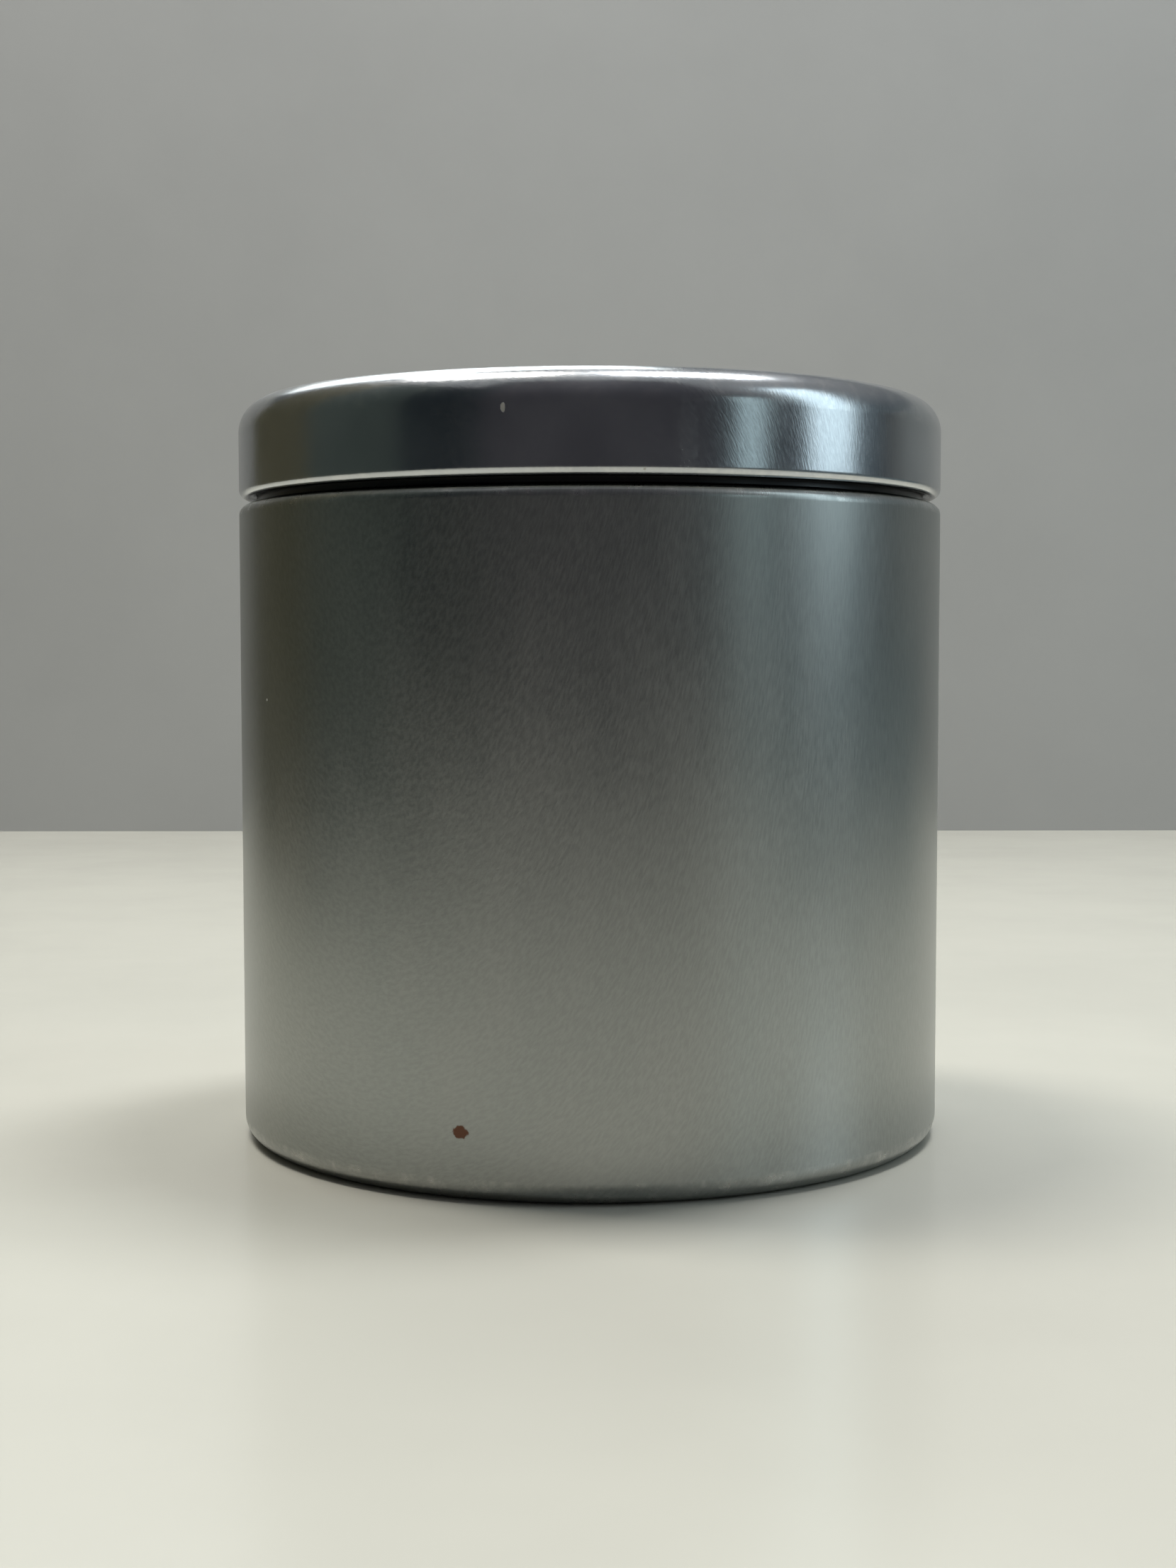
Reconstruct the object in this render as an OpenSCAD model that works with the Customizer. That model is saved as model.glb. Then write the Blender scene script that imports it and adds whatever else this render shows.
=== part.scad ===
// Round window lid tin: a drawn tinplate body with a slip lid that holds a clear window.
// Millimetres, +Z up. The origin is the middle of the standing ring's underside.

/* [Tin] */
// Outside diameter of the body wall and of the lid, which are flush
tin_d = 86; // [70:1:110]
// Height of the body's shoulder above the table
body_h = 77; // [50:1:120]
// Thickness of the tinplate of the body
body_t = 0.25; // [0.18:0.01:0.35]

/* [Base] */
// Outside radius between the wall and the standing ring
base_corner_r = 2.6; // [1:0.1:3.5]
// Width of the flat part of the standing ring
foot_w = 0.8; // [0.4:0.1:2]
// Height of the base panel's underside above the table
base_recess = 1.5; // [1.3:0.1:3]
// Radius of the two folds between the standing ring and the panel, at the middle of the sheet
base_fold_r = 0.6; // [0.3:0.05:0.65]

/* [Neck] */
// Outside radius of the shoulder below the gap
shoulder_r = 1.3; // [0.6:0.05:1.4]
// Radius of the inward bend at the foot of the neck, at the middle of the sheet
neck_fold_r = 0.45; // [0.3:0.05:0.6]
// Outside radius of the curled rim
rim_r = 0.75; // [0.5:0.05:0.9]
// How far the rim is curled round, in degrees
rim_wrap = 290; // [200:5:320]

/* [Lid] */
// Height of the lid from its lower edge to its top land
lid_h = 11.8; // [9:0.1:20]
// Thickness of the tinplate of the lid
lid_t = 0.25; // [0.18:0.01:0.35]
// Outside radius between the lid's skirt and its top land
lid_corner_r = 4; // [3.4:0.1:6]
// Outside radius of the curl at the skirt's lower edge
lid_curl_r = 1; // [0.7:0.05:1.1]
// How far the skirt's edge is curled round, in degrees
lid_curl_wrap = 300; // [200:5:320]
// Gap between the lid's lower edge and the body's shoulder when the lid is on
lid_gap = 0.8; // [0.4:0.1:2]
// Clearance between the lid's curl and the neck, on the radius
lid_slip = 0.12; // [0.05:0.01:0.3]

/* [Window] */
// Diameter of the window opening in the lid
window_d = 66; // [40:1:68]
// Width of the hem that is folded back under the window's edge
hem_w = 2; // [1:0.1:3]
// Thickness of the clear pane
pane_t = 0.5; // [0.3:0.05:0.7]
// Clearance between the pane's edge and the ring's corner
pane_slack = 0.3; // [0.1:0.05:0.6]

/* [Window ring] */
// Thickness of the ring's sheet
ring_t = 0.25; // [0.18:0.01:0.35]
// How far the ring's inner edge stays back from the window's edge
ring_setback = 0.6; // [0:0.1:1.5]
// Outside radius of the bead along the ring's inner edge
ring_bead_r = 0.5; // [0.4:0.05:0.7]
// Height of the ring's straight leg against the skirt
ring_leg_h = 3; // [1.5:0.1:4.5]
// How far the ring's leg is oversize in the skirt, on the radius, so that it grips
ring_grip = 0.02; // [0.01:0.01:0.04]
// Clearance between the rim of the neck and the ring when the lid is on
rim_seat = 0.2; // [0.1:0.05:0.4]

/* [Hidden] */
$fn = 180;

tin_r = tin_d / 2;
window_r = window_d / 2;

// Heights of the lid and of what is clamped under its land
lid_z = body_h + lid_gap;
lid_top = lid_z + lid_h;
hem_z = lid_top - 2 * lid_t;
web_z = hem_z - pane_t;

// The ring's corner is struck from the height of the lid's own corner, so that it nests in it
ring_r = tin_r - lid_t + ring_grip;
ring_c_z = lid_top - lid_corner_r;
ring_corner_r = web_z - ring_c_z;
ring_c_r = ring_r - ring_corner_r;
ring_in_r = window_r + ring_setback;
pane_r = ring_c_r - pane_slack;

// The neck slides in the lid's curl, and its rim seats in the ring's corner
neck_r = tin_r - 2 * lid_curl_r - lid_slip;
rim_c_r = neck_r - rim_r;
rim_reach = ring_corner_r - ring_t - rim_r - rim_seat;
rim_c_z = ring_c_z + sqrt(pow(rim_reach, 2) - pow(max(0, rim_c_r - ring_c_r), 2));

// The standing ring
foot_r = tin_r - base_corner_r - foot_w - base_fold_r;

// Unit vector from one point to another
function heading(a, b) = (b - a) / norm(b - a);

// Quarter turn to the left of a vector
function left_of(v) = [-v[1], v[0]];

// 1 where the path turns left at the corner between two headings, and -1 where it turns right
function turn(u, v) = sign(u[0] * v[1] - u[1] * v[0]);

// Length of straight sheet that a bend of radius r takes up on each side of its corner
function take_up(u, v, r) = r * tan(acos(u * v) / 2);

// Part of a ring of sheet t thick, of outside radius r, from angle a over a sweep
module bend(c, r, a, sweep, t) {
    steps = ceil(abs(sweep) / 60);
    translate(c)
        intersection() {
            difference() {
                circle(r = r);
                if (r > t) circle(r = r - t);
            }
            polygon(concat([[0, 0]], [for (i = [0:steps]) 2 * r * [cos(a + sweep * i / steps),
                                                                  sin(a + sweep * i / steps)]]));
        }
}

// Straight sheet t thick between two points on its middle line
module strip(a, b, t) {
    side = left_of(heading(a, b)) * t / 2;
    polygon([a - side, b - side, b + side, a + side]);
}

// Folded sheet t thick: each stop of the path is [radius, height, bend radius at the middle line]
module folded_sheet(path, t) {
    last = len(path) - 1;
    at = [for (p = path) [p[0], p[1]]];
    way = [for (i = [0:last - 1]) heading(at[i], at[i + 1])];
    cut = [for (i = [0:last]) (i == 0 || i == last) ? 0 : take_up(way[i - 1], way[i], path[i][2])];
    for (i = [0:last - 1]) strip(at[i] + way[i] * cut[i], at[i + 1] - way[i] * cut[i + 1], t);
    for (i = [1:last - 1]) {
        side = turn(way[i - 1], way[i]);
        spoke = -side * left_of(way[i - 1]);
        centre = at[i] - way[i - 1] * cut[i] - spoke * path[i][2];
        bend(centre, path[i][2] + t / 2, atan2(spoke[1], spoke[0]), side * acos(way[i - 1] * way[i]), t);
    }
}

// Drawn body: panel, standing ring, wall, shoulder and neck in one folded line, then the rim's curl
module tin_body() {
    half = body_t / 2;
    color([0.56, 0.58, 0.58])
        rotate_extrude() {
            folded_sheet([[0, base_recess + half, 0],
                          [foot_r, base_recess + half, base_fold_r],
                          [foot_r, half, base_fold_r],
                          [tin_r - half, half, base_corner_r - half],
                          [tin_r - half, body_h - half, shoulder_r - half],
                          [neck_r - half, body_h - half, neck_fold_r],
                          [neck_r - half, rim_c_z, 0]], body_t);
            bend([rim_c_r, rim_c_z], rim_r, 0, rim_wrap, body_t);
        }
}

// Drawn lid: hem, top land, corner and skirt in one folded line, then the curl of its lower edge
module lid_shell() {
    half = lid_t / 2;
    nose_r = window_r + lid_t;
    color([0.70, 0.73, 0.76])
        rotate_extrude() {
            strip([window_r + hem_w, hem_z + half], [nose_r, hem_z + half], lid_t);
            bend([nose_r, hem_z + lid_t], lid_t, 90, 180, lid_t);
            folded_sheet([[nose_r, lid_top - half, 0],
                          [tin_r - half, lid_top - half, lid_corner_r - half],
                          [tin_r - half, lid_z + lid_curl_r, 0]], lid_t);
            bend([tin_r - lid_curl_r, lid_z + lid_curl_r], lid_curl_r, 0, -lid_curl_wrap, lid_t);
        }
}

// Clear pane, clamped between the lid's hem and the ring
module window_pane() {
    color([0.85, 0.92, 0.95, 0.35])
        translate([0, 0, web_z]) cylinder(h = pane_t, r = pane_r);
}

// Pressed ring: bead, flat web, corner and gripping leg
module window_ring() {
    half = ring_t / 2;
    bead_c_r = ring_in_r + ring_bead_r;
    color([0.66, 0.67, 0.66])
        rotate_extrude() {
            bend([bead_c_r, web_z - ring_bead_r], ring_bead_r, 90, rim_wrap, ring_t);
            folded_sheet([[bead_c_r, web_z - half, 0],
                          [ring_r - half, web_z - half, ring_corner_r - half],
                          [ring_r - half, ring_c_z - ring_leg_h, 0]], ring_t);
        }
}

tin_body();
lid_shell();
window_pane();
window_ring();
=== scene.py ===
import math

import bpy
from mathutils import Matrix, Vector


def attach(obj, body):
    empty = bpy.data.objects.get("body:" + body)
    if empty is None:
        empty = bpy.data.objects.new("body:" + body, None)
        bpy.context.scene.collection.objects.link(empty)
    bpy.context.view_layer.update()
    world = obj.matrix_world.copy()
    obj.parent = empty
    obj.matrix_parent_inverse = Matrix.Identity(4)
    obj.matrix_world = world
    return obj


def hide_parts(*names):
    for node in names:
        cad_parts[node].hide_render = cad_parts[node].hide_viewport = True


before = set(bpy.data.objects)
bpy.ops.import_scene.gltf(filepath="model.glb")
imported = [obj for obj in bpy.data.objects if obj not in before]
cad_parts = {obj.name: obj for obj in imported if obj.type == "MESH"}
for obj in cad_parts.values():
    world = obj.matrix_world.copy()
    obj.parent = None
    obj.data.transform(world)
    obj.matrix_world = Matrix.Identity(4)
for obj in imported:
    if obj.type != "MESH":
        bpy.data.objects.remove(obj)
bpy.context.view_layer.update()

# The body is a seamless cup drawn from one disc of 0.25 mm tinplate: recessed panel, standing ring, wall,
# rounded shoulder, stepped-in neck and a rim that is curled inwards. Its outside is dull, with the mill's
# fine rolling grain still in the sheet; drawing has pulled that grain out along the wall.
MM = 0.001
TIN_R = 43 * MM
BODY_H = 77 * MM
BODY_T = 0.25 * MM
BASE_CORNER_R = 2.6 * MM
FOOT_W = 0.8 * MM
BASE_RECESS = 1.5 * MM
BASE_FOLD_R = 0.6 * MM
SHOULDER_R = 1.3 * MM
NECK_FOLD_R = 0.45 * MM
RIM_R = 0.75 * MM
RIM_WRAP = 290
NECK_R = 40.88 * MM
RIM_TURN_Z = 87.364 * MM
FOOT_R = TIN_R - BASE_CORNER_R - FOOT_W - BASE_FOLD_R
SEGMENTS = 256
BEND_STEP = math.radians(7)
FULL_FOLD = 1.5 * BEND_STEP
SHEET_CREASE = 50
RUN_STEP = 3.5 * MM
RUN_END = 0.12 * MM
TOUCHING = 1e-7
INNER_FACE_SHIFT = 40 * MM


def left_of(way):
    return Vector((-way.y, way.x))


def straight_run(a, b):
    """Points along a straight run of sheet, with two close to its ends so that it shades as flat."""
    way = (b - a).normalized()
    length = (b - a).length
    if length < 3 * RUN_END:
        return [(a, way), (b, way)]
    count = max(1, math.ceil((length - 2 * RUN_END) / RUN_STEP))
    inner = [RUN_END + (length - 2 * RUN_END) * i / count for i in range(count + 1)]
    return [(a + way * s, way) for s in [0, *inner, length]]


def curl_line(centre, radius, start, sweep):
    """Points round a curl of that middle radius, with the way the sheet runs at each."""
    steps = math.ceil(abs(math.radians(sweep)) / BEND_STEP)
    turns = [math.radians(start + sweep * i / steps) for i in range(steps + 1)]
    side = math.copysign(1, sweep)
    spokes = [Vector((math.cos(a), math.sin(a))) for a in turns]
    return [(Vector(centre) + spoke * radius, left_of(spoke) * side) for spoke in spokes]


def folded_line(stops):
    """Middle line of folded sheet: each stop is radius, height and the bend radius there."""
    at = [Vector(stop[:2]) for stop in stops]
    ways = [(b - a).normalized() for a, b in zip(at, at[1:])]
    line = []
    run_start = at[0]
    for i in range(1, len(stops) - 1):
        before, after = ways[i - 1], ways[i]
        turn = math.atan2(before.x * after.y - before.y * after.x, before.dot(after))
        bend = stops[i][2]
        cut = bend * math.tan(abs(turn) / 2)
        side = math.copysign(1, turn)
        line += straight_run(run_start, at[i] - before * cut)
        centre = at[i] - before * cut + left_of(before) * side * bend
        spoke = -left_of(before) * side
        start = math.degrees(math.atan2(spoke.y, spoke.x))
        line += curl_line(centre, bend, start, math.degrees(turn))
        run_start = at[i] + after * cut
    return line + straight_run(run_start, at[-1])


def ring_spokes(r):
    """Directions from the axis to the points of a ring of radius r. A ring on the axis has one point."""
    count = 1 if r < TOUCHING else SEGMENTS
    turns = [2 * math.pi * k / SEGMENTS for k in range(count)]
    return [(math.cos(a), math.sin(a)) for a in turns]


def ring_faces(rings, closed):
    """Faces between each ring and the next. A ring is its first point's number and its count of points."""
    pairs = list(zip(rings, rings[1:]))
    if closed:
        pairs.append((rings[-1], rings[0]))
    faces = []
    for (a, a_count), (b, b_count) in pairs:
        for k in range(SEGMENTS):
            n = (k + 1) % SEGMENTS
            if a_count == 1:
                faces.append((a, b + n, b + k))
            elif b_count == 1:
                faces.append((a + k, a + n, b))
            else:
                faces.append((a + k, a + n, b + n, b + k))
    return faces


def put_in(name, data):
    """An object of that mesh, lamp or camera, linked into the scene."""
    made = bpy.data.objects.new(name, data)
    bpy.context.scene.collection.objects.link(made)
    return made


def smooth_piece(name, mesh, crease):
    """A piece of that mesh, shaded smooth except where faces meet at more than the crease angle."""
    mesh.shade_smooth()
    mesh.set_sharp_from_angle(angle=math.radians(crease))
    return put_in(name, mesh)


def spin_sheet(name, line, thick, datum):
    """Spins sheet of that thickness round the tin's axis. It keeps, for each point, where that point lay on
    the flat blank before drawing ("blank", by equal area from the datum) and how folded it is ("fold")."""
    clean = [line[0]]
    for step in line[1:]:
        if (step[0] - clean[-1][0]).length > TOUCHING:
            clean.append(step)
    last = len(clean) - 1
    area = [0.0]
    for (a, _), (b, _) in zip(clean, clean[1:]):
        area.append(area[-1] + (a.x + b.x) * (b - a).length)
    nearest = min(range(len(clean)), key=lambda i: (clean[i][0] - datum).length)
    blank_r = [math.sqrt(max(datum.x ** 2 + s - area[nearest], 0)) for s in area]
    fold = []
    for i in range(len(clean)):
        near = clean[min(i + 1, last)][1].dot(clean[max(i - 1, 0)][1])
        fold.append(min(1.0, math.acos(max(-1, min(1, near))) / FULL_FOLD))
    outline = []
    for side, order in ((1, range(len(clean))), (-1, range(last, -1, -1))):
        for i in order:
            point, way = clean[i]
            place = point - left_of(way) * side * thick / 2
            row = (max(place.x, 0.0), place.y, blank_r[i], fold[i], side)
            if not outline or math.hypot(row[0] - outline[-1][0], row[1] - outline[-1][1]) > TOUCHING:
                outline.append(row)
    verts, blanks, folds, rings = [], [], [], []
    for r, z, rb, bent, side in outline:
        spokes = ring_spokes(r)
        rings.append((len(verts), len(spokes)))
        for x, y in spokes:
            verts.append((r * x, r * y, z))
            blanks += (rb * x, rb * y, 0.0 if side == 1 else INNER_FACE_SHIFT)
            folds.append(bent)
    mesh = bpy.data.meshes.new(name)
    mesh.from_pydata(verts, [], ring_faces(rings, clean[0][0].x > TOUCHING))
    mesh.attributes.new("blank", "FLOAT_VECTOR", "POINT").data.foreach_set("vector", blanks)
    mesh.attributes.new("fold", "FLOAT", "POINT").data.foreach_set("value", folds)
    mesh.update()
    return smooth_piece(name, mesh, SHEET_CREASE)


def add_node(tree, kind, settings=None, **inputs):
    """One shader node. Its inputs are numbers, colours or the sockets that feed them, and are given by name
    or, where names repeat, as _0, _1 and so on."""
    made = tree.nodes.new("ShaderNode" + kind)
    for key, value in (settings or {}).items():
        setattr(made, key, value)
    for key, value in inputs.items():
        name = int(key[1:]) if key[0] == "_" else key.replace("_", " ")
        if isinstance(value, bpy.types.NodeSocket):
            tree.links.new(value, made.inputs[name])
        else:
            made.inputs[name].default_value = value
    return made


def maths(tree, a, b, operation="ADD"):
    return add_node(tree, "Math", {"operation": operation}, _0=a, _1=b).outputs[0]


def plus(tree, value, extra, amount):
    """A value with that amount of an extra one added to it."""
    return maths(tree, value, maths(tree, extra, amount, "MULTIPLY"))


def vector_maths(tree, a, b, operation):
    return add_node(tree, "VectorMath", {"operation": operation}, _0=a, _1=b).outputs[0]


def shaped(tree, value, low, high, out_low=0.0, out_high=1.0):
    """A value between low and high, eased into the range from out_low to out_high."""
    ease = {"interpolation_type": "SMOOTHSTEP"}
    return add_node(tree, "MapRange", ease, _0=value, _1=low, _2=high, _3=out_low, _4=out_high).outputs[0]


def toned(tree, mask, a, b, blend="MIX"):
    """Colour a where the mask is 0, and colour b, blended in that way, where it is 1."""
    made = tree.nodes.new("ShaderNodeMix")
    made.data_type = "RGBA"
    made.blend_type = blend
    sockets = {s.identifier: s for s in made.inputs}
    for key, value in (("Factor_Float", mask), ("A_Color", a), ("B_Color", b)):
        if isinstance(value, bpy.types.NodeSocket):
            tree.links.new(value, sockets[key])
        else:
            sockets[key].default_value = value
    return next(s for s in made.outputs if s.identifier == "Result_Color")


def object_place(tree):
    """Where a point lies on its piece, in metres, as it is at rest."""
    return add_node(tree, "TexCoord").outputs["Object"]


def piece_height(tree):
    """How high a point of the piece is above the table at rest, in metres."""
    return add_node(tree, "SeparateXYZ", Vector=object_place(tree)).outputs["Z"]


def raised(tree, shader, height, strength, depth):
    """Feeds that height to the shader as fine relief."""
    bump = add_node(tree, "Bump", Height=height, Strength=strength, Distance=depth)
    tree.links.new(bump.outputs[0], shader.inputs["Normal"])


def new_effect(name, inputs, outputs):
    """An empty shader node group with those number or vector inputs and outputs."""
    group = bpy.data.node_groups.new(name, "ShaderNodeTree")
    for label, value in inputs.items():
        kind = "NodeSocketVector" if isinstance(value, tuple) else "NodeSocketFloat"
        group.interface.new_socket(label, in_out="INPUT", socket_type=kind).default_value = value
    for label in outputs:
        group.interface.new_socket(label, in_out="OUTPUT", socket_type="NodeSocketFloat")
    return group, group.nodes.new("NodeGroupInput"), group.nodes.new("NodeGroupOutput")


def use_effect(tree, group, **inputs):
    """Places that effect in a material with its own values, and gives its outputs."""
    made = tree.nodes.new("ShaderNodeGroup")
    made.node_tree = group
    for key, value in inputs.items():
        made.inputs[key].default_value = value
    return made.outputs


def new_finish(name, color, **sockets):
    """A material with one Principled BSDF whose plain sockets are set here."""
    material = bpy.data.materials.new(name)
    material.use_nodes = True
    tree = material.node_tree
    shader = tree.nodes["Principled BSDF"]
    shader.inputs["Base Color"].default_value = color
    for key, value in sockets.items():
        shader.inputs[key.replace("_", " ")].default_value = value
    return material, tree, shader


# Rolling grain is the fine lines that the mill's rolls leave in the sheet. They lie along one direction of
# the flat blank, so on the drawn piece they follow the metal's flow. A stroke's Length and Width
# are in mm.
ROLLING_AZIMUTH = 55
STREAK_SCALE = (0.16, 0.30, 0.30)
CLOUD_SCALE = 95.0
rolled_grain, grain_in, grain_out = new_effect(
    "rolled_grain", {"Length": 1.0, "Width": 0.3}, ["Strokes", "Streaks", "Clouds"])
blank_at = add_node(rolled_grain, "Attribute", {"attribute_name": "blank"}).outputs["Vector"]
rolled = add_node(rolled_grain, "VectorRotate", {"rotation_type": "Z_AXIS"}, Vector=blank_at,
                  Angle=math.radians(90 - ROLLING_AZIMUTH)).outputs[0]
along = maths(rolled_grain, 1 / MM, grain_in.outputs["Length"], "DIVIDE")
across = maths(rolled_grain, 1 / MM, grain_in.outputs["Width"], "DIVIDE")
grain_scale = add_node(rolled_grain, "CombineXYZ", X=along, Y=across, Z=across).outputs[0]
grain_at = vector_maths(rolled_grain, rolled, grain_scale, "MULTIPLY")
strokes = add_node(rolled_grain, "TexNoise", Vector=grain_at, Scale=1.0, Detail=3.0, Roughness=0.62)
rolled_grain.links.new(strokes.outputs[0], grain_out.inputs["Strokes"])
streak_at = vector_maths(rolled_grain, grain_at, STREAK_SCALE, "MULTIPLY")
streaks = add_node(rolled_grain, "TexNoise", Vector=streak_at, Scale=1.0, Detail=2.0, Roughness=0.5)
rolled_grain.links.new(streaks.outputs[0], grain_out.inputs["Streaks"])
clouds = add_node(rolled_grain, "TexNoise", Vector=rolled, Scale=CLOUD_SCALE, Detail=2.5, Roughness=0.5)
rolled_grain.links.new(clouds.outputs[0], grain_out.inputs["Clouds"])

# Handling wear polishes and scuffs the sheet where it is folded, in broken patches. Amount is how much of
# it shows on the piece.
WEAR_SCALE = 420.0
WEAR_EDGE = (0.45, 0.68)
fold_wear, wear_in, wear_out = new_effect("fold_wear", {"Amount": 0.5}, ["Wear"])
fold_at = add_node(fold_wear, "Attribute", {"attribute_name": "fold"}).outputs["Fac"]
wear_noise = add_node(fold_wear, "TexNoise", Vector=object_place(fold_wear), Scale=WEAR_SCALE, Detail=4.0,
                      Roughness=0.7)
wear_patch = shaped(fold_wear, wear_noise.outputs[0], *WEAR_EDGE)
wear_mask = maths(fold_wear, wear_patch, fold_at, "MULTIPLY")
wear_shown = maths(fold_wear, wear_mask, wear_in.outputs["Amount"], "MULTIPLY")
fold_wear.links.new(wear_shown, wear_out.inputs["Wear"])

# Hairline scratches from handling run every way, each only part of the way along its line. They lie where a
# stretched noise crosses its middle value.
HAIR_TURNS = ((0.3, 0.5, 1.1), (1.2, 0.2, 2.3), (2.1, 0.9, 0.4))
HAIR_STRETCH = (12.0, 140.0, 60.0)
HAIR_WIDTH = 0.012
HAIR_GAP_SCALE = 0.9
HAIR_GAP_EDGE = (0.60, 0.70)
NOISE_MIDDLE = 0.5
hairlines, hair_in, hair_out = new_effect("hairlines", {"Spacing": 9.0, "Amount": 1.0}, ["Scratches"])
hair_place = object_place(hairlines)
hair_total = None
for hair_turn in HAIR_TURNS:
    hair_way = add_node(hairlines, "Mapping", Vector=hair_place, Rotation=hair_turn,
                        Scale=HAIR_STRETCH).outputs[0]
    hair_line = add_node(hairlines, "TexNoise", Vector=hair_way, Scale=hair_in.outputs["Spacing"],
                         Detail=1.0, Roughness=0.4)
    hair_off = maths(hairlines, hair_line.outputs[0], NOISE_MIDDLE, "SUBTRACT")
    hair_near = add_node(hairlines, "Math", {"operation": "ABSOLUTE"}, _0=hair_off).outputs[0]
    hair_mask = shaped(hairlines, hair_near, 0.0, HAIR_WIDTH, 1.0, 0.0)
    hair_gap = add_node(hairlines, "TexNoise", Vector=hair_way, Scale=HAIR_GAP_SCALE, Detail=1.0)
    hair_some = shaped(hairlines, hair_gap.outputs[0], *HAIR_GAP_EDGE)
    hair_kept = maths(hairlines, hair_mask, hair_some, "MULTIPLY")
    hair_total = hair_kept if hair_total is None else maths(hairlines, hair_total, hair_kept, "MAXIMUM")
hair_shown = maths(hairlines, hair_total, hair_in.outputs["Amount"], "MULTIPLY")
hairlines.links.new(hair_shown, hair_out.inputs["Scratches"])

# One small mark on the sheet, such as a nick or a speck, with a ragged outline. Centre and Size are in
# metres, and Raggedness is how far the outline strays.
MARK_SCALE = 1500.0
MARK_EDGE = (0.8, 1.05)
small_mark, mark_in, mark_out = new_effect(
    "small_mark", {"Centre": (0.0, 0.0, 0.0), "Size": (1.0, 1.0, 1.0), "Raggedness": 0.6}, ["Mark"])
mark_place = object_place(small_mark)
mark_noise = add_node(small_mark, "TexNoise", Vector=mark_place, Scale=MARK_SCALE, Detail=3.0).outputs[0]
mark_stray = maths(small_mark, mark_noise, NOISE_MIDDLE, "SUBTRACT")
mark_ragged = maths(small_mark, mark_stray, mark_in.outputs["Raggedness"], "MULTIPLY")
mark_offset = vector_maths(small_mark, mark_place, mark_in.outputs["Centre"], "SUBTRACT")
mark_scaled = vector_maths(small_mark, mark_offset, mark_in.outputs["Size"], "DIVIDE")
mark_reach = add_node(small_mark, "VectorMath", {"operation": "LENGTH"}, _0=mark_scaled).outputs["Value"]
mark_shown = shaped(small_mark, maths(small_mark, mark_reach, mark_ragged), *MARK_EDGE, 1.0, 0.0)
small_mark.links.new(mark_shown, mark_out.inputs["Mark"])


def on_wall(azimuth, height):
    """A point on the wall, at that azimuth in degrees from the front, counted to the right."""
    a = math.radians(azimuth)
    return (TIN_R * math.sin(a), -TIN_R * math.cos(a), height)


body_line = folded_line([
    (0, BASE_RECESS + BODY_T / 2, 0),
    (FOOT_R, BASE_RECESS + BODY_T / 2, BASE_FOLD_R),
    (FOOT_R, BODY_T / 2, BASE_FOLD_R),
    (TIN_R - BODY_T / 2, BODY_T / 2, BASE_CORNER_R - BODY_T / 2),
    (TIN_R - BODY_T / 2, BODY_H - BODY_T / 2, SHOULDER_R - BODY_T / 2),
    (NECK_R - BODY_T / 2, BODY_H - BODY_T / 2, NECK_FOLD_R),
    (NECK_R - BODY_T / 2, RIM_TURN_Z, 0),
])
body_line += curl_line((NECK_R - RIM_R, RIM_TURN_Z), RIM_R - BODY_T / 2, 0, RIM_WRAP)
drawn_body = spin_sheet("drawn_body", body_line, BODY_T, Vector((0, BASE_RECESS + BODY_T / 2)))

# The body's finish is dull grey tinplate, a little paler where folds are rubbed. The shoulder ledge and the
# foot of the neck, in the gap under the lid, carry painted shade in near-black. One brown speck and one
# pale dot mark the wall.
NOISE_SPAN = (0.3, 0.7)
STROKE_SPAN = (0.25, 0.75)
STROKE_TONE_SPAN = (0.32, 0.70)
STROKE_SHADE = (0.86, 0.86, 0.86, 1)
DULL_TIN = (0.43, 0.44, 0.43, 1)
DULL_TIN_DARK = (0.385, 0.398, 0.384, 1)
DULL_TIN_PALE = (0.405, 0.415, 0.40, 1)
DULL_TIN_WORN = (0.56, 0.555, 0.53, 1)
BROWN_SPECK = (0.20, 0.075, 0.035, 1)
PALE_DOT = (0.95, 0.95, 0.92, 1)
# Painted shade: the near-black tone for the gap between the lid's curl and the body's shoulder.
PAINTED_GAP_SHADE = (0.03, 0.03, 0.03, 1)
PAINTED_SHADE_EDGE = 0.12 * MM
PAINTED_SHADE_FADE = 0.8 * MM
BODY_ROUGH = (0.29, 0.34)
BODY_GRAIN_DEPTH = 0.03 * MM
LID_BOTTOM = 77.8 * MM

body_tinplate, tree, shader = new_finish("body_tinplate", DULL_TIN, Metallic=1.0, Anisotropic=0.25)
grain = use_effect(tree, rolled_grain, Length=1.1, Width=0.34)
body_wear = use_effect(tree, fold_wear, Amount=0.6)["Wear"]
body_hair = use_effect(tree, hairlines, Spacing=7.0, Amount=0.15)["Scratches"]
speck = use_effect(tree, small_mark, Centre=on_wall(-19.0, 7.7 * MM), Size=(1.0 * MM, 1.0 * MM, 0.75 * MM),
                   Raggedness=1.2)["Mark"]
dot = use_effect(tree, small_mark, Centre=on_wall(-59.7, 53.8 * MM), Size=(0.18 * MM, 0.18 * MM, 0.18 * MM),
                 Raggedness=0.3)["Mark"]
tone = toned(tree, shaped(tree, grain["Clouds"], *NOISE_SPAN), DULL_TIN_DARK, DULL_TIN_PALE)
shaded = toned(tree, 1.0, tone, STROKE_SHADE, "MULTIPLY")
tone = toned(tree, shaped(tree, grain["Strokes"], *STROKE_TONE_SPAN), shaded, tone)
tone = toned(tree, body_wear, tone, DULL_TIN_WORN)
body_height = piece_height(tree)
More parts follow.
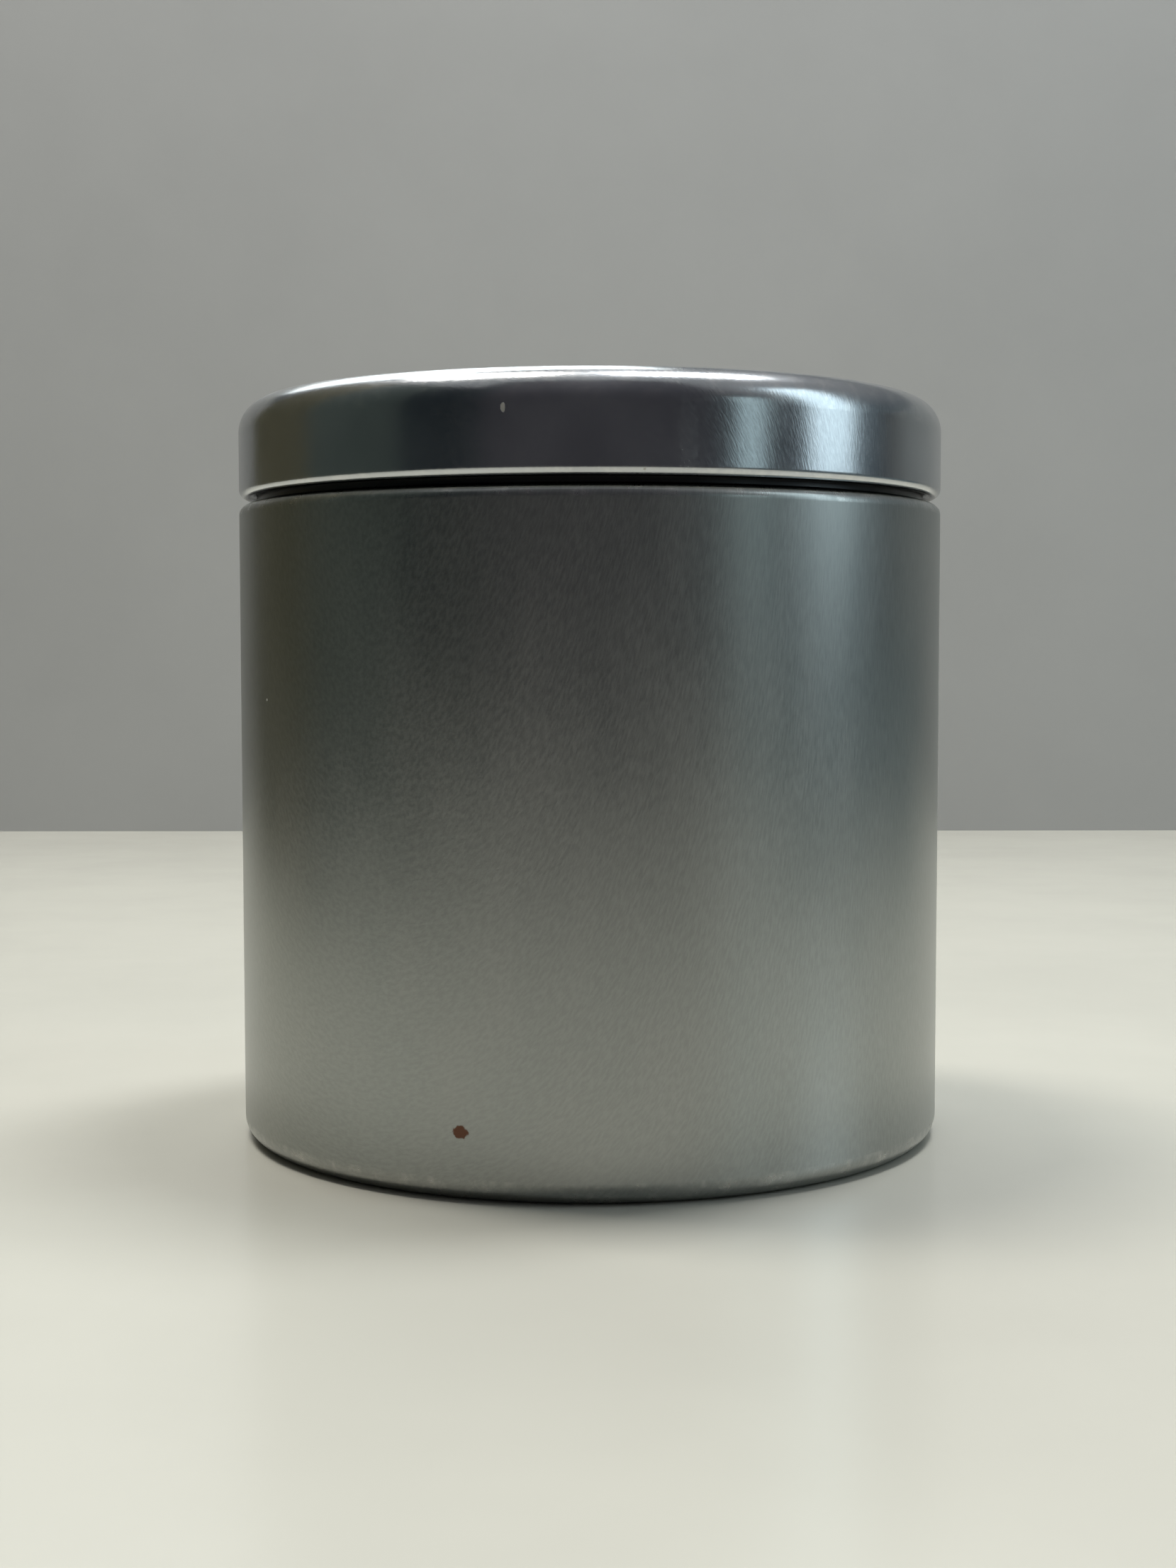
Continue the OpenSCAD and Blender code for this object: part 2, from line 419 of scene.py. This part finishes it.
# Painted shade: a near-black band from the top of the shoulder to just above the lid's lower edge, where
# the gap under the lid falls.
above_shoulder = shaped(tree, body_height, BODY_H - PAINTED_SHADE_EDGE, BODY_H)
below_lid = shaped(tree, body_height, LID_BOTTOM, LID_BOTTOM + PAINTED_SHADE_FADE, 1.0, 0.0)
tone = toned(tree, maths(tree, above_shoulder, below_lid, "MULTIPLY"), tone, PAINTED_GAP_SHADE)
tone = toned(tree, speck, tone, BROWN_SPECK)
tone = toned(tree, dot, tone, PALE_DOT)
tree.links.new(tone, shader.inputs["Base Color"])
rough = shaped(tree, grain["Strokes"], *STROKE_SPAN, *BODY_ROUGH)
rough = maths(tree, rough, shaped(tree, grain["Clouds"], *NOISE_SPAN, -0.008, 0.012))
rough = plus(tree, rough, body_wear, -0.08)
rough = plus(tree, rough, maths(tree, speck, dot), 0.3)
tree.links.new(rough, shader.inputs["Roughness"])
tree.links.new(maths(tree, 1.0, speck, "SUBTRACT"), shader.inputs["Metallic"])
height = plus(tree, grain["Strokes"], grain["Streaks"], 0.2)
height = plus(tree, height, body_hair, -0.5)
raised(tree, shader, height, 0.22, BODY_GRAIN_DEPTH)
tangent = add_node(tree, "Tangent", {"direction_type": "RADIAL", "axis": "Z"})
tree.links.new(tangent.outputs[0], shader.inputs["Tangent"])
drawn_body.data.materials.append(body_tinplate)
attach(drawn_body, "tin")
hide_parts("tin_body")

# The lid is drawn from smoother, brighter tinplate: a hemmed window opening, a narrow flat land, a rounded
# corner and a short skirt that is flush with the body, with its lower edge curled inwards onto the neck.
LID_T = 0.25 * MM
LID_TOP = 89.6 * MM
LID_CORNER_R = 4.0 * MM
LID_CURL_R = 1.0 * MM
LID_CURL_WRAP = 300
WINDOW_R = 33 * MM
HEM_W = 2 * MM
HEM_Z = LID_TOP - 2 * LID_T
NOSE_R = WINDOW_R + LID_T
BRIGHT_TIN = (0.47, 0.485, 0.50, 1)
BRIGHT_TIN_DARK = (0.44, 0.455, 0.47, 1)
BRIGHT_TIN_PALE = (0.50, 0.515, 0.53, 1)
BRIGHT_TIN_WORN = (0.62, 0.62, 0.61, 1)
BARE_NICK = (0.60, 0.585, 0.56, 1)
LID_ROUGH = (0.17, 0.23)
LID_GRAIN_DEPTH = 0.02 * MM

lid_line = straight_run(Vector((WINDOW_R + HEM_W, HEM_Z + LID_T / 2)), Vector((NOSE_R, HEM_Z + LID_T / 2)))
lid_line += curl_line((NOSE_R, HEM_Z + LID_T), LID_T / 2, 270, -180)
lid_line += folded_line([
    (NOSE_R, LID_TOP - LID_T / 2, 0),
    (TIN_R - LID_T / 2, LID_TOP - LID_T / 2, LID_CORNER_R - LID_T / 2),
    (TIN_R - LID_T / 2, LID_BOTTOM + LID_CURL_R, 0),
])
curl_centre = (TIN_R - LID_CURL_R, LID_BOTTOM + LID_CURL_R)
lid_line += curl_line(curl_centre, LID_CURL_R - LID_T / 2, 0, -LID_CURL_WRAP)
drawn_lid = spin_sheet("drawn_lid", lid_line, LID_T, Vector((NOSE_R, LID_TOP - LID_T / 2)))

lid_tinplate, tree, shader = new_finish("lid_tinplate", BRIGHT_TIN, Metallic=1.0)
grain = use_effect(tree, rolled_grain, Length=0.9, Width=0.22)
lid_wear = use_effect(tree, fold_wear, Amount=0.5)["Wear"]
lid_hair = use_effect(tree, hairlines, Spacing=8.0, Amount=0.12)["Scratches"]
nick = use_effect(tree, small_mark, Centre=on_wall(-12.2, 84.9 * MM), Size=(0.28 * MM, 0.4 * MM, 0.55 * MM),
                  Raggedness=1.0)["Mark"]
curl_nick = use_effect(tree, small_mark, Centre=on_wall(7.7, 78.4 * MM),
                       Size=(0.2 * MM, 0.2 * MM, 0.2 * MM), Raggedness=0.8)["Mark"]
scuff = use_effect(tree, small_mark, Centre=on_wall(13.9, 81.9 * MM), Size=(1.2 * MM, 1.2 * MM, 4.5 * MM),
                   Raggedness=1.6)["Mark"]
tone = toned(tree, shaped(tree, grain["Clouds"], *NOISE_SPAN), BRIGHT_TIN_DARK, BRIGHT_TIN_PALE)
tone = toned(tree, lid_wear, tone, BRIGHT_TIN_WORN)
# Painted shade: the lowest edge of the lid's curl, facing the gap over the body's shoulder, is painted
# near-black.
curl_foot_shade = shaped(tree, piece_height(tree), LID_BOTTOM, LID_BOTTOM + PAINTED_SHADE_EDGE, 1.0, 0.0)
tone = toned(tree, curl_foot_shade, tone, PAINTED_GAP_SHADE)
tone = toned(tree, maths(tree, nick, curl_nick, "MAXIMUM"), tone, BARE_NICK)
tree.links.new(tone, shader.inputs["Base Color"])
rough = shaped(tree, grain["Strokes"], *STROKE_SPAN, *LID_ROUGH)
rough = maths(tree, rough, shaped(tree, grain["Clouds"], 0.35, 0.65, -0.015, 0.02))
rough = plus(tree, rough, scuff, 0.035)
rough = plus(tree, rough, maths(tree, nick, curl_nick), 0.45)
rough = plus(tree, rough, lid_hair, 0.12)
tree.links.new(rough, shader.inputs["Roughness"])
height = plus(tree, grain["Strokes"], grain["Streaks"], 0.5)
height = plus(tree, height, grain["Clouds"], 2.0)
height = plus(tree, height, lid_hair, -0.6)
raised(tree, shader, height, 0.35, LID_GRAIN_DEPTH)
drawn_lid.data.materials.append(lid_tinplate)
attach(drawn_lid, "lid")
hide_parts("lid_shell")

# The window is a clear PET disc, cut with a slightly rounded edge and laid under the lid's hem. It picks up
# faint hairlines and a little haze from handling and wiping.
PANE_T = 0.5 * MM
WEB_Z = HEM_Z - PANE_T
PANE_TOP = WEB_Z + PANE_T
PANE_R = 39.47 * MM
PANE_EDGE_R = 0.08 * MM
PANE_FLAT_R = PANE_R - PANE_EDGE_R
PANE_CREASE = 30
CLEAR_PET = (0.96, 0.98, 0.98, 1)
SCRATCHED_PET = (0.88, 0.90, 0.90, 1)
HAZE_SCALE = 45.0
HAZE_SPAN = (0.35, 0.7)
HAZE_ROUGH = (0.02, 0.07)
HAZE_DEPTH = 0.02 * MM

pane_rows = [
    (0.0, WEB_Z),
    (PANE_R / 2, WEB_Z),
    (PANE_FLAT_R, WEB_Z),
    (PANE_R, WEB_Z + PANE_EDGE_R),
    (PANE_R, PANE_TOP - PANE_EDGE_R),
    (PANE_FLAT_R, PANE_TOP),
    (PANE_R / 2, PANE_TOP),
    (0.0, PANE_TOP),
]
pane_verts, pane_rings = [], []
for pane_ring_r, pane_ring_z in pane_rows:
    pane_spokes = ring_spokes(pane_ring_r)
    pane_rings.append((len(pane_verts), len(pane_spokes)))
    pane_verts += [(pane_ring_r * x, pane_ring_r * y, pane_ring_z) for x, y in pane_spokes]
pane_mesh = bpy.data.meshes.new("clear_window")
pane_mesh.from_pydata(pane_verts, [], ring_faces(pane_rings, closed=False))
clear_window = smooth_piece("clear_window", pane_mesh, PANE_CREASE)

clear_pane, tree, shader = new_finish("clear_pane", CLEAR_PET, Transmission_Weight=1.0, IOR=1.57)
pane_hair = use_effect(tree, hairlines, Spacing=6.0, Amount=1.0)["Scratches"]
haze = add_node(tree, "TexNoise", Vector=object_place(tree), Scale=HAZE_SCALE, Detail=3.0).outputs[0]
rough = plus(tree, shaped(tree, haze, *HAZE_SPAN, *HAZE_ROUGH), pane_hair, 0.25)
tree.links.new(rough, shader.inputs["Roughness"])
tree.links.new(toned(tree, pane_hair, CLEAR_PET, SCRATCHED_PET), shader.inputs["Base Color"])
raised(tree, shader, maths(tree, haze, pane_hair, "SUBTRACT"), 0.2, HAZE_DEPTH)
clear_window.data.materials.append(clear_pane)
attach(clear_window, "lid")
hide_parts("window_pane")

# The window ring is a pressed tinplate ring: a rolled bead round its hole, a flat web under the pane, a
# corner that nests in the lid's and a leg that grips the skirt. It clamps the pane and seats on the rim of
# the neck.
RING_T = 0.25 * MM
RING_R = 42.77 * MM
RING_CORNER_R = 3.0 * MM
RING_CORNER_Z = LID_TOP - LID_CORNER_R
RING_BEAD_R = 0.5 * MM
RING_BEAD_AT = 34.1 * MM
RING_LEG_H = 3 * MM
RING_TIN = (0.58, 0.59, 0.59, 1)
RING_TIN_DARK = (0.55, 0.56, 0.56, 1)
RING_TIN_PALE = (0.62, 0.63, 0.62, 1)
RING_TIN_WORN = (0.74, 0.74, 0.72, 1)
RING_ROUGH = (0.24, 0.34)
RING_GRAIN_DEPTH = 0.03 * MM

bead_centre = (RING_BEAD_AT, WEB_Z - RING_BEAD_R)
ring_line = curl_line(bead_centre, RING_BEAD_R - RING_T / 2, 90 + RIM_WRAP, -RIM_WRAP)
ring_line += folded_line([
    (RING_BEAD_AT, WEB_Z - RING_T / 2, 0),
    (RING_R - RING_T / 2, WEB_Z - RING_T / 2, RING_CORNER_R - RING_T / 2),
    (RING_R - RING_T / 2, RING_CORNER_Z - RING_LEG_H, 0),
])
pressed_ring = spin_sheet("pressed_ring", ring_line, RING_T, Vector((RING_BEAD_AT, WEB_Z - RING_T / 2)))

ring_tinplate, tree, shader = new_finish("ring_tinplate", RING_TIN, Metallic=1.0)
grain = use_effect(tree, rolled_grain, Length=1.0, Width=0.3)
ring_wear = use_effect(tree, fold_wear, Amount=0.4)["Wear"]
tone = toned(tree, shaped(tree, grain["Clouds"], *NOISE_SPAN), RING_TIN_DARK, RING_TIN_PALE)
tone = toned(tree, ring_wear, tone, RING_TIN_WORN)
tree.links.new(tone, shader.inputs["Base Color"])
tree.links.new(shaped(tree, grain["Strokes"], *STROKE_SPAN, *RING_ROUGH), shader.inputs["Roughness"])
raised(tree, shader, grain["Strokes"], 0.4, RING_GRAIN_DEPTH)
pressed_ring.data.materials.append(ring_tinplate)
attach(pressed_ring, "lid")
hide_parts("window_ring")

# The tin stands on a plain pale table, lightly polished, with a plain grey wall some way behind it. Dark
# flag cards at the front and left, and a low grey-blue card at the right, shape what the metal reflects.
# The camera doesn't see them.
TABLE_HALF = 1.6
TABLE_PAINT = (0.66, 0.64, 0.56, 1)
TABLE_ROUGH = 0.22
WALL_Y = 0.431
WALL_H = 0.33
WALL_PAINT = (0.37, 0.37, 0.364, 1)
WALL_ROUGH = 0.6
UNEVEN_SCALE = 14.0
UNEVEN_TONE = 0.96
UNEVEN_GLOSS = 0.02
CARD_ROUGH = 0.8
FRONT_Y = -0.36
BACK_Y = 0.26
LEFT_X = -0.30
RIGHT_X = 0.36
FLAG_CARDS = (
    ("front_flag", (-0.225, FRONT_Y), (0.31, FRONT_Y), 0.9, (0.032, 0.029, 0.038, 1)),
    ("front_flag_end", (LEFT_X, FRONT_Y), (-0.225, FRONT_Y), 0.9, (0.006, 0.012, 0.018, 1)),
    ("left_flag_front", (LEFT_X, FRONT_Y), (LEFT_X, -0.19), 0.5, (0.006, 0.013, 0.019, 1)),
    ("left_flag", (LEFT_X, -0.19), (LEFT_X, 0.02), 0.5, (0.055, 0.070, 0.062, 1)),
    ("left_flag_back", (LEFT_X, 0.02), (LEFT_X, BACK_Y), 0.5, (0.080, 0.070, 0.036, 1)),
    ("right_card", (RIGHT_X, FRONT_Y), (RIGHT_X, BACK_Y), 0.06, (0.13, 0.18, 0.21, 1)),
)


def standing(start, end, top):
    """Corners of a sheet that stands on the table from start to end, as high as top."""
    return [(*start, 0.0), (*end, 0.0), (*end, top), (*start, top)]


def flat_sheet(name, corners, color, roughness):
    """A plain flat sheet of the studio, with a faint unevenness in its tone and gloss."""
    mesh = bpy.data.meshes.new(name)
    mesh.from_pydata(corners, [], [(0, 1, 2, 3)])
    sheet = put_in(name, mesh)
    finish, tree, shader = new_finish(name + "_paint", color)
    uneven = add_node(tree, "TexNoise", Vector=object_place(tree), Scale=UNEVEN_SCALE, Detail=4.0,
                      Roughness=0.6).outputs[0]
    darker = tuple(UNEVEN_TONE * c for c in color[:3]) + (1,)
    tone = toned(tree, shaped(tree, uneven, *NOISE_SPAN), darker, color)
    tree.links.new(tone, shader.inputs["Base Color"])
    rough = shaped(tree, uneven, *NOISE_SPAN, roughness, roughness + UNEVEN_GLOSS)
    tree.links.new(rough, shader.inputs["Roughness"])
    sheet.data.materials.append(finish)
    return sheet


table_corners = [
    (-TABLE_HALF, -TABLE_HALF, 0),
    (TABLE_HALF, -TABLE_HALF, 0),
    (TABLE_HALF, TABLE_HALF, 0),
    (-TABLE_HALF, TABLE_HALF, 0),
]
flat_sheet("table", table_corners, TABLE_PAINT, TABLE_ROUGH)
flat_sheet("wall", standing((-TABLE_HALF, WALL_Y), (TABLE_HALF, WALL_Y), WALL_H), WALL_PAINT, WALL_ROUGH)
for flag_name, flag_start, flag_end, flag_top, flag_color in FLAG_CARDS:
    flag = flat_sheet(flag_name, standing(flag_start, flag_end, flag_top), flag_color, CARD_ROUGH)
    flag.visible_camera = False

# Plain soft lamps light the tin: two overhead to the left and right, a broad one over the wall, and a tall
# cool one and a small one at the right. The room all round is dim, and the camera sees it as a plain grey.
LOW_ON_TIN = (0, 0, 0.05)
AT_LID = (0, 0, 0.08)
ROOM_LEFT = (0.040, 0.042, 0.030, 1)
ROOM_RIGHT = (0.07, 0.09, 0.105, 1)
ROOM_FRONT = (0.04, 0.04, 0.045, 1)
ROOM_CEILING = (0.34, 0.35, 0.36, 1)
ROOM_AS_SEEN = (0.45, 0.45, 0.44, 1)


def soft_lamp(name, place, aim, size, watts, color):
    """A rectangular lamp at that place, turned towards the aim, which the camera doesn't see."""
    lamp = bpy.data.lights.new(name, "AREA")
    lamp.shape = "RECTANGLE"
    lamp.size, lamp.size_y = size
    lamp.energy = watts
    lamp.color = color
    lamp_object = put_in(name, lamp)
    lamp_object.location = place
    lamp_object.rotation_euler = (Vector(aim) - Vector(place)).to_track_quat("-Z", "Y").to_euler()
    lamp_object.visible_camera = False


soft_lamp("lamp_left", (-0.24, 0.10, 0.88), LOW_ON_TIN, (0.16, 0.30), 4.4, (1.0, 0.98, 0.93))
soft_lamp("lamp_right", (0.20, 0.12, 0.88), LOW_ON_TIN, (0.16, 0.30), 4.4, (0.95, 0.98, 1.0))
soft_lamp("lamp_back", (-0.20, 0.66, 0.78), AT_LID, (0.58, 0.55), 3.0, (0.93, 1.0, 1.0))
soft_lamp("lamp_window", (0.93, -0.16, 0.50), AT_LID, (0.34, 0.80), 1.9, (0.74, 0.92, 1.0))
soft_lamp("lamp_side", (0.730, -0.608, 0.26), AT_LID, (0.15, 0.34), 0.16, (0.72, 0.95, 1.0))

room = bpy.data.worlds.new("room")
bpy.context.scene.world = room
room.use_nodes = True
tree = room.node_tree
room_glow = next(n for n in tree.nodes if n.type == "BACKGROUND")
towards = add_node(tree, "SeparateXYZ", Vector=add_node(tree, "TexCoord").outputs["Generated"]).outputs
sides = toned(tree, shaped(tree, towards["X"], -0.9, 0.9), ROOM_LEFT, ROOM_RIGHT)
front = toned(tree, shaped(tree, towards["Y"], -0.6, 0.3), ROOM_FRONT, sides)
above = toned(tree, shaped(tree, towards["Z"], 0.2, 0.9), front, ROOM_CEILING)
seen = add_node(tree, "LightPath").outputs["Is Camera Ray"]
tree.links.new(toned(tree, seen, above, ROOM_AS_SEEN), room_glow.inputs["Color"])

# The camera stands where the photograph's did: 272 mm in front of the tin's axis and 60 mm above the table,
# just under the lid, and it looks slightly down. Its lens frames the whole tin as the photograph does.
CAMERA_AT = Vector((-0.000087, -0.27183, 0.060016))
CAMERA_PITCH = -0.06365
CAMERA_ROLL = 0.00085
CAMERA_YAW = -0.00051
CAMERA_LENS = 49.946
CAMERA_SENSOR = 36
CAMERA_NEAR = 0.01
CAMERA_FAR = 20

camera_data = bpy.data.cameras.new("camera")
camera_data.lens = CAMERA_LENS
camera_data.sensor_width = CAMERA_SENSOR
camera_data.clip_start = CAMERA_NEAR
camera_data.clip_end = CAMERA_FAR
camera = put_in("camera", camera_data)
camera.location = CAMERA_AT
camera.rotation_euler = (math.pi / 2 + CAMERA_PITCH, CAMERA_ROLL, -CAMERA_YAW)
bpy.context.scene.camera = camera
bpy.context.scene.view_settings.view_transform = "Standard"
